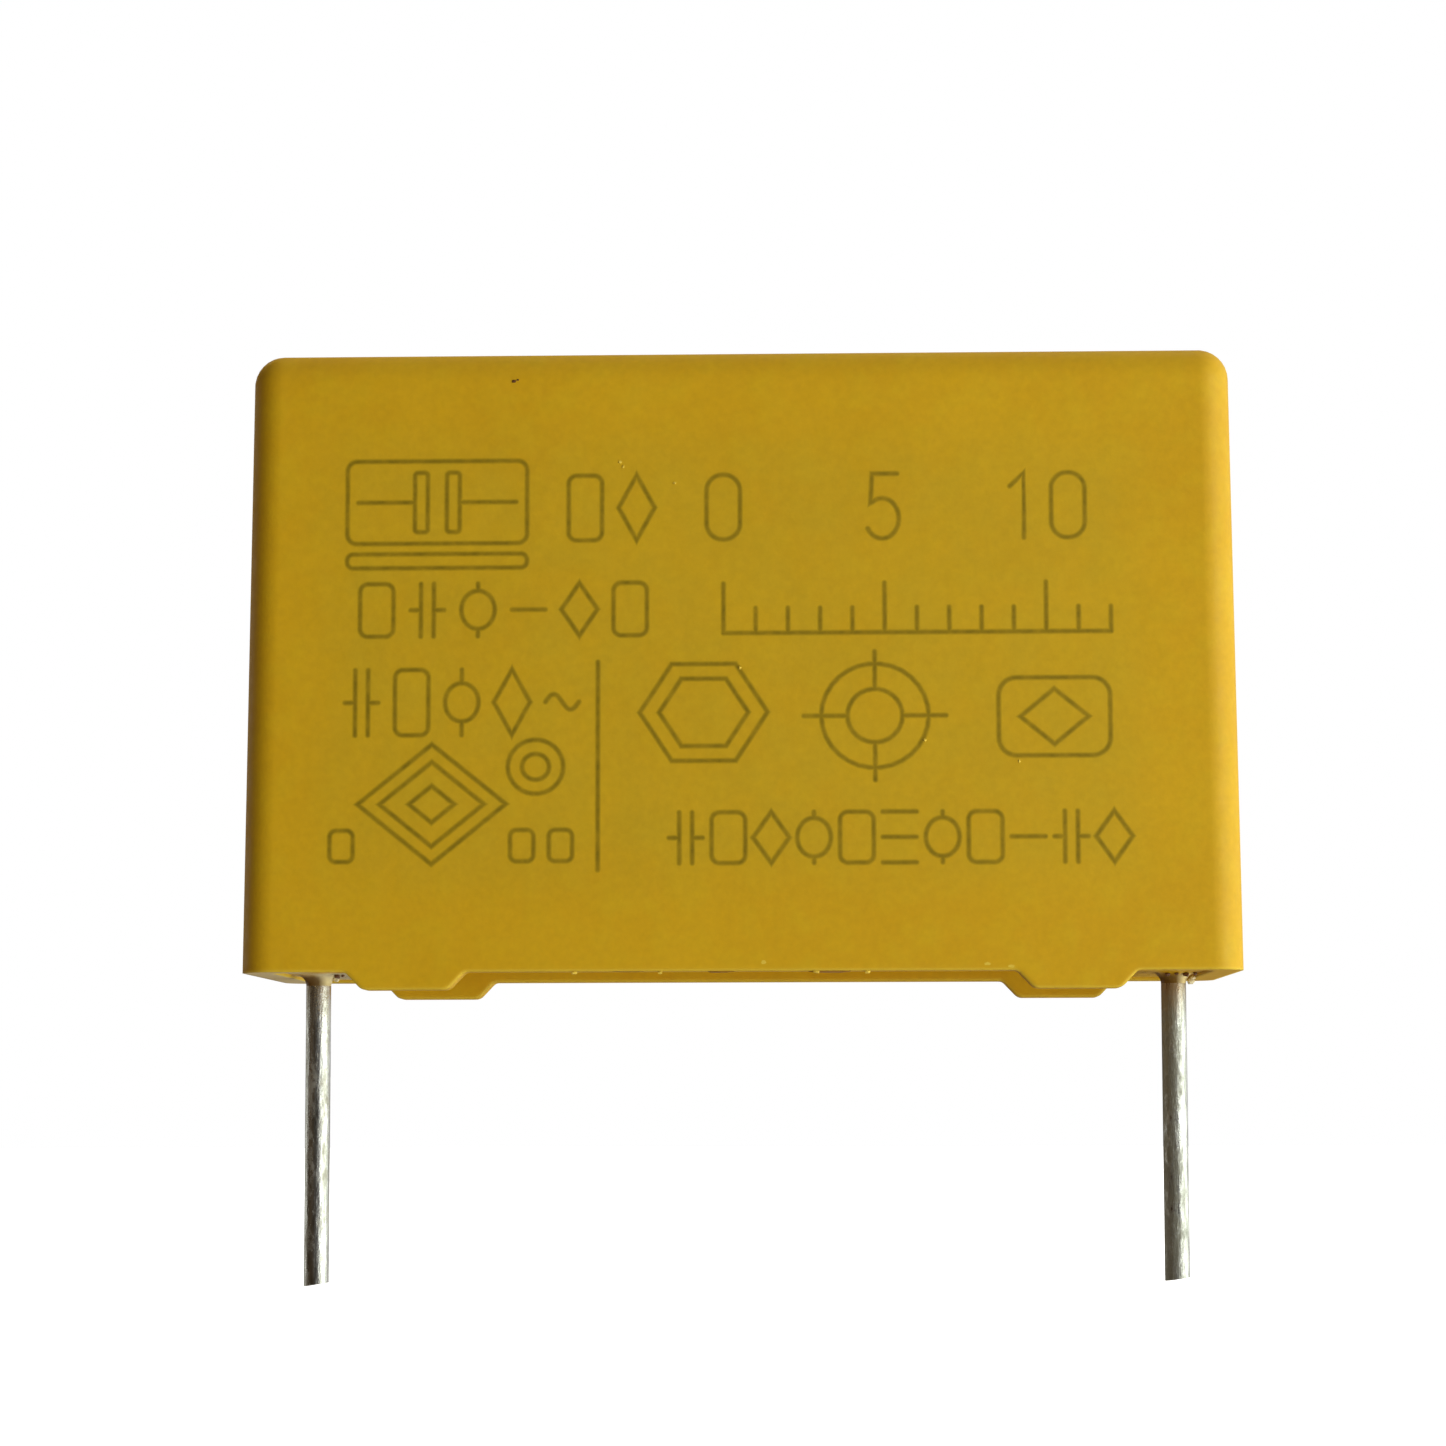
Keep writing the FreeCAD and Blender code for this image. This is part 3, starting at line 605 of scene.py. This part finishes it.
def polygon(centre, across, up, corners):
    """A closed regular shape with its first corner on the right."""
    angles = [math.radians(360 * corner / corners) for corner in range(corners)]
    return [(centre[0] + across * math.cos(a), centre[1] + up * math.sin(a)) for a in angles], True


def nested(centre, corners, *sizes):
    """Outlines of one shape inside each other."""
    if corners == 0:
        return [ring(centre, across, up) for across, up in sizes]
    return [polygon(centre, across, up, corners) for across, up in sizes]


def sine(centre, half, height):
    """One period of a sine wave."""
    steps = [step / SINE_STEPS for step in range(-SINE_STEPS, SINE_STEPS + 1)]
    return [(centre[0] + half * s, centre[1] - height * math.sin(math.pi * s)) for s in steps], False


def sign(kind, x, low, high):
    """One plain sign of a row."""
    half = SIGN_WIDTH / 2
    middle = (low + high) / 2
    tall = (high - low) / 2
    if kind == "frame":
        return [box((x, middle), half, tall, FRAME_CORNER)]
    if kind == "diamond":
        return [polygon((x, middle), half * DIAMOND_BREADTH, tall, 4)]
    if kind == "ring":
        reach = half * RING_HEIGHT
        return [ring((x, middle), half, reach),
                line((x, low), (x, middle - reach)),
                line((x, middle + reach), (x, high))]
    if kind == "bars":
        left, right = x - BAR_OFFSET, x + BAR_OFFSET
        return [line((left, low), (left, high)),
                line((right, low), (right, high)),
                line((x - half, middle), (left, middle)),
                line((right, middle), (x + half, middle))]
    if kind == "lines":
        return [line((x - half, z), (x + half, z)) for z in (low, middle, high)]
    if kind == "wave":
        return [sine((x, middle), half, SINE_HEIGHT)]
    return [line((x - half, middle), (x + half, middle))]


def numeral(digit, x):
    """A plain 0, 1 or 5 that stands on the numeral line."""
    half = SIGN_WIDTH / 2
    low = NUMERAL_BASE
    high = NUMERAL_BASE + NUMERAL_HEIGHT
    if digit == "0":
        return box((x, (low + high) / 2), half, NUMERAL_HEIGHT / 2, half * ZERO_CORNER)
    if digit == "1":
        return [(x - ONE_FLAG, high - ONE_FLAG_DROP), (x + ONE_STEM, high), (x + ONE_STEM, low)], False
    bowl_half = NUMERAL_HEIGHT * FIVE_BOWL_HALF
    neck = (x - half * FIVE_NECK_LEFT, low + NUMERAL_HEIGHT * FIVE_NECK_HEIGHT)
    points = [(x + half * FIVE_BAR_RIGHT, high), (x - half * FIVE_BAR_LEFT, high), neck]
    return points + arc((x - FIVE_BOWL_SHIFT, low + bowl_half), half, bowl_half, *FIVE_BOWL_ANGLES), False


def millimetre_scale():
    """Base line, a tick at every millimetre and a numeral at every fifth."""
    strokes = [line((SCALE_START, SCALE_BASE), (SCALE_START + SCALE_LENGTH, SCALE_BASE))]
    for step in range(SCALE_LENGTH + 1):
        x = SCALE_START + step
        is_long = step % SCALE_LONG_EVERY == 0
        tick = LONG_TICK if is_long else SHORT_TICK
        strokes.append(line((x, SCALE_BASE), (x, SCALE_BASE + tick)))
        if is_long:
            digits = str(step)
            first = x - NUMERAL_PITCH * (len(digits) - 1) / 2
            for place, digit in enumerate(digits):
                strokes.append(numeral(digit, first + NUMERAL_PITCH * place))
    return strokes


def capacitor_symbol():
    """Two plates and their wires in a frame, with a thin hollow bar under it."""
    x, z = SYMBOL_MIDDLE
    strokes = [box(SYMBOL_MIDDLE, *SYMBOL_FRAME), box((x, SYMBOL_BAR_MIDDLE), *SYMBOL_BAR)]
    for side in (-1, 1):
        strokes.append(box((x + side * PLATE_OFFSET, z), *SYMBOL_PLATE))
    plate = PLATE_OFFSET + SYMBOL_PLATE[0]
    for start, end in ((-WIRE_REACH, -plate), (plate, WIRE_REACH)):
        strokes.append(line((x + start, z), (x + end, z)))
    return strokes


def plain_marks():
    """Three outline marks to the right of the divider, and nested shapes to its left."""
    divider, low, high = DIVIDER
    strokes = [line((divider, low), (divider, high))] + nested(*HEXAGONS) + nested(*TARGET)
    x, z = TARGET[0]
    for across, up in ((1, 0), (0, 1), (-1, 0), (0, -1)):
        strokes.append(line((x + ARM_START * across, z + ARM_START * up),
                            (x + ARM_ACROSS * across, z + ARM_UP * up)))
    strokes += [box(BOXED_DIAMOND[0], *DIAMOND_BOX)] + nested(*BOXED_DIAMOND)
    strokes += nested(*DIAMONDS) + nested(*SMALL_RINGS)
    return strokes + [box((x, SMALL_BOX_MIDDLE), *SMALL_BOX) for x in SMALL_BOX_PLACES]


def offsets(points, closed):
    """Sideways direction at each point of a stroke, drawn out at corners so the width holds."""
    last = len(points) - 1
    result = []
    for index, point in enumerate(points):
        before = points[index - 1] if closed or index > 0 else None
        after = points[(index + 1) % len(points)] if closed or index < last else None
        ways = []
        if before is not None:
            ways.append((Vector(point) - Vector(before)).normalized())
        if after is not None:
            ways.append((Vector(after) - Vector(point)).normalized())
        along = sum(ways, Vector((0, 0))).normalized()
        result.append(Vector((-along.y, along.x)) / max(along.dot(ways[0]), MITRE_LIMIT))
    return result


def draw_cap(builder, place, row, centre, side, way):
    """Round off the start or the end of an open stroke."""
    along = Vector((side.y, -side.x)) * way
    rim = [row[0]]
    for step in range(1, CAP_STEPS):
        angle = math.pi * step / CAP_STEPS
        spot = centre + STROKE_HALF * (along * math.sin(angle) - side * math.cos(angle))
        rim.append(builder.verts.new(place(spot.x, spot.y, -STROKE_SUNK)))
    rim.append(row[2])
    for first, second in zip(rim, rim[1:]):
        builder.faces.new((row[1], first, second))
    builder.faces.new(rim)


def draw_stroke(builder, core, place, points, closed):
    """Add one stroke: a very low ridge, 1 along its middle and 0 at its edges."""
    sides = offsets(points, closed)
    rows = []
    for point, side in zip(points, sides):
        row = []
        for shift, level in ((-1, 0), (0, 1), (1, 0)):
            spot = Vector(point) + side * STROKE_HALF * shift
            vert = builder.verts.new(place(spot.x, spot.y, STROKE_PROUD if level else -STROKE_SUNK))
            vert[core] = level
            row.append(vert)
        rows.append(row)
    pairs = list(zip(rows, rows[1:]))
    if closed:
        pairs.append((rows[-1], rows[0]))
    for near, far in pairs:
        for first, second in ((0, 1), (1, 2), (2, 0)):
            builder.faces.new((near[first], near[second], far[second], far[first]))
    if not closed:
        draw_cap(builder, place, rows[0], Vector(points[0]), sides[0], -1)
        draw_cap(builder, place, rows[-1], Vector(points[-1]), sides[-1], 1)


# A line straight from the front that finds the plane of the front face
PROBE_START = Vector((0, -100, 10)) * MM
PROBE_WAY = Vector((0, 1, 0))


def front_face():
    """A function that turns x, z and height off the front face into a point in metres."""
    spots = [vertex.co for vertex in nodes["case"].data.vertices]
    shell = BVHTree.FromPolygons(spots, [face.vertices for face in nodes["case"].data.polygons])
    hit, normal, _, _ = shell.ray_cast(PROBE_START, PROBE_WAY)

    def place(x, z, height):
        """The point at x and z on the face, lifted along its normal."""
        y = hit.y - (normal.x * (x * MM - hit.x) + normal.z * (z * MM - hit.z)) / normal.y
        return Vector((x * MM, y, z * MM)) + normal * height * MM

    return place


def add_piece(name, builder, material):
    """Turn a built mesh into a piece that goes with the body."""
    bmesh.ops.recalc_face_normals(builder, faces=builder.faces[:])
    mesh = bpy.data.meshes.new(name)
    builder.to_mesh(mesh)
    builder.free()
    piece = bpy.data.objects.new(name, mesh)
    scene.collection.objects.link(piece)
    dress(piece, material)
    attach(piece, "root")


def marking_material():
    """Plastic darkened to olive along each stroke, soft at the edges and uneven in depth."""
    material, tree, shader = new_material("marking", **PLASTIC)
    place = in_millimetres(tree)
    core = node(tree, "ShaderNodeAttribute", attribute_name="core").outputs["Fac"]
    depth = span(tree, noise(tree, place, *MARK_PATCHES), *SOFT, *MARK_LEVELS)
    ink = calculate(tree, "MULTIPLY", span(tree, core, *MARK_EDGE, smooth=True), depth)
    colour = blend(tree, ink, plastic_colour(tree), MARK_OLIVE)
    wire_up(tree, shader, Base_Color=colour, Roughness=plastic_roughness(tree, place))
    return material


def add_marking():
    """All strokes of the marking in one thin piece."""
    strokes = capacitor_symbol() + millimetre_scale() + plain_marks()
    for first, pitch, low, high, signs in SIGN_ROWS:
        for count, kind in enumerate(signs):
            strokes += sign(kind, first + pitch * count, low, high)
    builder = bmesh.new()
    core = builder.verts.layers.float.new("core")
    place = front_face()
    for points, closed in strokes:
        draw_stroke(builder, core, place, points, closed)
    add_piece("face_marking", builder, marking_material())


# Specks on the front face: x, z, half width and half height
DARK_SPECKS = [(-7.05, 19.02, 0.075, 0.05), (-6.93, 19.06, 0.04, 0.03)]
PALE_SPECKS = [(-3.72, 16.43, 0.06, 0.05), (-3.62, 16.28, 0.035, 0.05), (-2.01, 15.75, 0.05, 0.04),
               (0.01, 9.93, 0.05, 0.045), (5.72, 7.65, 0.05, 0.05), (8.62, 6.98, 0.04, 0.04)]

# Painted glints: flat pale specks just above the lower rim of the front: x, z, half width and half height
RIM_GLINTS = [(0.71, 0.80, 0.08, 0.09), (7.58, 0.74, 0.10, 0.06), (8.32, 0.66, 0.10, 0.06)]

# Crumbs of flash, pale as painted glints, and dark amber streaks under the front rim: x, y, z, radii
# along X, Y and Z
FLASH_BITS_WITH_GLINTS = [(-5.12, -5.40, 0.52, 0.11, 0.08, 0.06), (-2.48, -5.42, 0.52, 0.07, 0.06, 0.06),
              (2.34, -5.40, 0.52, 0.10, 0.08, 0.05), (3.90, -5.41, 0.52, 0.10, 0.07, 0.06)]
# Dark amber flattened lumps under the front rim's edge, darker streaks there
RIM_DARK_STREAKS = [(-0.62, -5.30, 0.54, 0.42, 0.12, 0.040), (2.75, -5.30, 0.54, 0.66, 0.12, 0.050),
              (-3.40, -5.32, 0.55, 0.50, 0.10, 0.020)]

# Bits of resin at the roots of the leads: x, y, z, radius. The brown ones by the left lead are painted
# shade, and the cream ones are resin beads painted pale as a highlight
BROWN_BITS_AND_SHADE = [(13.52, -0.52, 0.58, 0.09), (13.80, -0.58, 0.60, 0.07), (14.12, -0.50, 0.57, 0.10),
              (14.42, -0.30, 0.60, 0.07), (-13.08, -0.55, 0.60, 0.10), (-12.92, -0.42, 0.62, 0.06)]
CREAM_BITS_AND_HIGHLIGHT = [(14.30, -0.12, 0.36, 0.12), (14.38, 0.05, 0.48, 0.08), (-13.16, -0.10, 0.50, 0.10)]

# How far a speck and a flat speck stand off the face, height of a resin bit as a share of its
# radius, how uneven every lump is, and the seed of that unevenness
SPECK_PROUD = 0.03
FLAT_PROUD = 0.0006
BIT_HEIGHT = 0.8
LUMP_UNEVENNESS = 0.22
LUMP_SEED = 7

# Mottled colours of the lumps, light and dark (the pale ones also as painted glints), their mottling, and
# roughness dry and glossy
PALE_SPECK_AND_GLINT_SHADES = ((0.78, 0.57, 0.08, 1.0), (0.68, 0.45, 0.03, 1.0))
CREAM_SHADES = ((0.86, 0.76, 0.50, 1.0), (0.62, 0.50, 0.26, 1.0))
BROWN_SHADES = ((0.16, 0.055, 0.012, 1.0), (0.06, 0.022, 0.008, 1.0))
AMBER_SHADES = ((0.34, 0.16, 0.010, 1.0), (0.26, 0.11, 0.006, 1.0))
LUMP_MOTTLE = (14.0, 2.0)
DRY = 0.5
GLOSSY = 0.3


def lump_material(name, light, dark, roughness):
    """One mottled colour for small specks and lumps."""
    material, tree, shader = new_material(name, IOR=1.5, Specular_IOR_Level=0.3, Roughness=roughness)
    mottle = noise(tree, in_millimetres(tree), *LUMP_MOTTLE)
    wire_up(tree, shader, Base_Color=blend(tree, mottle, dark, light))
    return material


def add_lumps(name, lumps, shades, roughness):
    """One piece of uneven rounded lumps: a centre in metres and radii in millimetres for each."""
    builder = bmesh.new()
    chance = random.Random(LUMP_SEED)
    for centre, radii in lumps:
        ball = bmesh.ops.create_icosphere(builder, subdivisions=2, radius=1.0)
        for vert in ball["verts"]:
            uneven = 1 + chance.uniform(-LUMP_UNEVENNESS, LUMP_UNEVENNESS)
            spot = [axis * size * MM * uneven for axis, size in zip(vert.co, radii)]
            vert.co = centre + Vector(spot)
    add_piece(name, builder, lump_material(name, *shades, roughness))


def add_specks():
    """Specks on the front face, painted glints above its rim, crumbs and dark streaks under it, and bits
    of resin at the leads with painted shade and highlight.
    """
    place = front_face()
    for name, specks, proud, shades in (("dark_specks", DARK_SPECKS, SPECK_PROUD, BROWN_SHADES),
                                        ("pale_specks", PALE_SPECKS, SPECK_PROUD, PALE_SPECK_AND_GLINT_SHADES),
                                        # Rim specks: painted glints in pale shades
                                        ("rim_painted_glints", RIM_GLINTS, FLAT_PROUD, PALE_SPECK_AND_GLINT_SHADES)):
        lumps = [(place(x, z, 0), (across, proud, up)) for x, z, across, up in specks]
        add_lumps(name, lumps, shades, DRY)
    # Crumbs of flash are real lumps, coloured pale as painted glints
    for name, bits, shades, slot in (("flash_bits_with_glints", FLASH_BITS_WITH_GLINTS, PALE_SPECK_AND_GLINT_SHADES, "case_plastic"),
                                     ("rim_dark_streaks", RIM_DARK_STREAKS, AMBER_SHADES, "resin")):
        lumps = [(Vector((x, y, z)) * MM, radii) for x, y, z, *radii in bits]
        add_lumps(name, lumps, shades, DRY)
    # Brown bits: resin specks, and painted shade by the left lead; cream bits: beads with a painted
    # highlight
    for name, bits, shades in (("brown_resin_bits_and_shade", BROWN_BITS_AND_SHADE, BROWN_SHADES),
                               ("cream_resin_bits_and_highlight", CREAM_BITS_AND_HIGHLIGHT, CREAM_SHADES)):
        lumps = [(Vector((x, y, z)) * MM, (size, size, size * BIT_HEIGHT)) for x, y, z, size in bits]
        add_lumps(name, lumps, shades, GLOSSY)


# Floor: half its width, its colour and how much it glows by itself
FLOOR_HALF = 400.0
FLOOR_GREY = (0.86, 0.86, 0.85, 1.0)
FLOOR_GLOW = 0.95


def make_floor():
    """A plain pale floor that the lead tips just touch."""
    half = FLOOR_HALF * MM
    level = cad_box[0].z
    mesh = bpy.data.meshes.new("floor")
    corners = [(-half, -half, level), (half, -half, level), (half, half, level), (-half, half, level)]
    mesh.from_pydata(corners, [], [(0, 1, 2, 3)])
    floor = bpy.data.objects.new("floor", mesh)
    scene.collection.objects.link(floor)
    material, tree, shader = new_material("pale_floor", Roughness=0.9, Emission_Strength=FLOOR_GLOW)
    shader.inputs["Base Color"].default_value = FLOOR_GREY
    shader.inputs["Emission Color"].default_value = WHITE
    mesh.materials.append(material)
    floor.visible_diffuse = False
    floor.visible_glossy = False
    floor.visible_shadow = False


# Dim light from around: from one direction to another along X or Z, and its strength at each
FROM_RIGHT = (0.0, 0.9, 0.055, 0.85)
FROM_BELOW = (-1.0, -0.15, 0.50, 0.0)
FROM_ABOVE = (0.2, 1.0, 0.0, 0.22)

# The dim light is warm on the left and turns white between these directions along X
WARM = (1.0, 0.72, 0.45, 1.0)
WARM_RANGE = (-0.6, 0.2)


def make_surroundings():
    """White to look at, but dim light for the part: brightest from the right, least from above."""
    world = bpy.data.worlds.new("studio")
    scene.world = world
    world.use_nodes = True
    tree = world.node_tree
    tree.nodes.clear()
    sides = split(tree, node(tree, "ShaderNodeTexCoord").outputs["Generated"])
    from_right = span(tree, sides["X"], *FROM_RIGHT, smooth=True)
    from_below = span(tree, sides["Z"], *FROM_BELOW, smooth=True)
    from_above = span(tree, sides["Z"], *FROM_ABOVE, smooth=True)
    light = calculate(tree, "ADD", from_right, calculate(tree, "ADD", from_below, from_above))
    tint = blend(tree, span(tree, sides["X"], *WARM_RANGE), WARM, WHITE)
    dim = node(tree, "ShaderNodeBackground", {"Color": tint, "Strength": light})
    white = node(tree, "ShaderNodeBackground", {"Color": WHITE, "Strength": 1.0})
    seen = node(tree, "ShaderNodeLightPath").outputs["Is Camera Ray"]
    both = node(tree, "ShaderNodeMixShader", {0: seen, 1: dim.outputs[0], 2: white.outputs[0]})
    node(tree, "ShaderNodeOutputWorld", {"Surface": both.outputs[0]})


NEUTRAL = (0.97, 1.0, 0.96)
GREENISH = (0.85, 1.0, 0.80)

# Softboxes: name, azimuth from the front towards the right, elevation, distance, size, watts,
# colour, and whether it lights dull surfaces and shows as a shine
SOFTBOXES = [
    ("key", 78, -9, 200, 240, 0.205, GREENISH, True, True),
    ("front_fill", 43, -1, 165, 120, 0.152, NEUTRAL, True, False),
    ("back_left", 215, 30, 300, 160, 0.35, NEUTRAL, True, False),
    ("back_top", 160, 62, 300, 160, 0.30, NEUTRAL, True, False),
    ("right_shine", 52, 0, 200, 100, 0.036, NEUTRAL, False, True),
    ("left_shine", -118, 0, 200, 110, 0.030, NEUTRAL, False, True),
]


def make_lamps():
    """Square softboxes that all look at the middle of the part."""
    target = (cad_box[0] + cad_box[1]) / 2
    for name, azimuth, elevation, distance, size, watts, colour, lights, shines in SOFTBOXES:
        turn, lift = math.radians(azimuth), math.radians(elevation)
        away = Vector((math.sin(turn) * math.cos(lift), -math.cos(turn) * math.cos(lift), math.sin(lift)))
        data = bpy.data.lights.new(name, "AREA")
        data.shape = "SQUARE"
        data.size = size * MM
        data.color = colour
        data.energy = watts
        lamp = bpy.data.objects.new(name, data)
        lamp.location = target + away * distance * MM
        lamp.rotation_mode = "QUATERNION"
        lamp.rotation_quaternion = (-away).to_track_quat("-Z", "Y")
        lamp.visible_diffuse = lights
        lamp.visible_glossy = shines
        scene.collection.objects.link(lamp)


scene.view_settings.view_transform = "Standard"
make_camera()
make_surroundings()
make_lamps()
make_floor()
dress_cad_nodes()
add_marking()
add_specks()
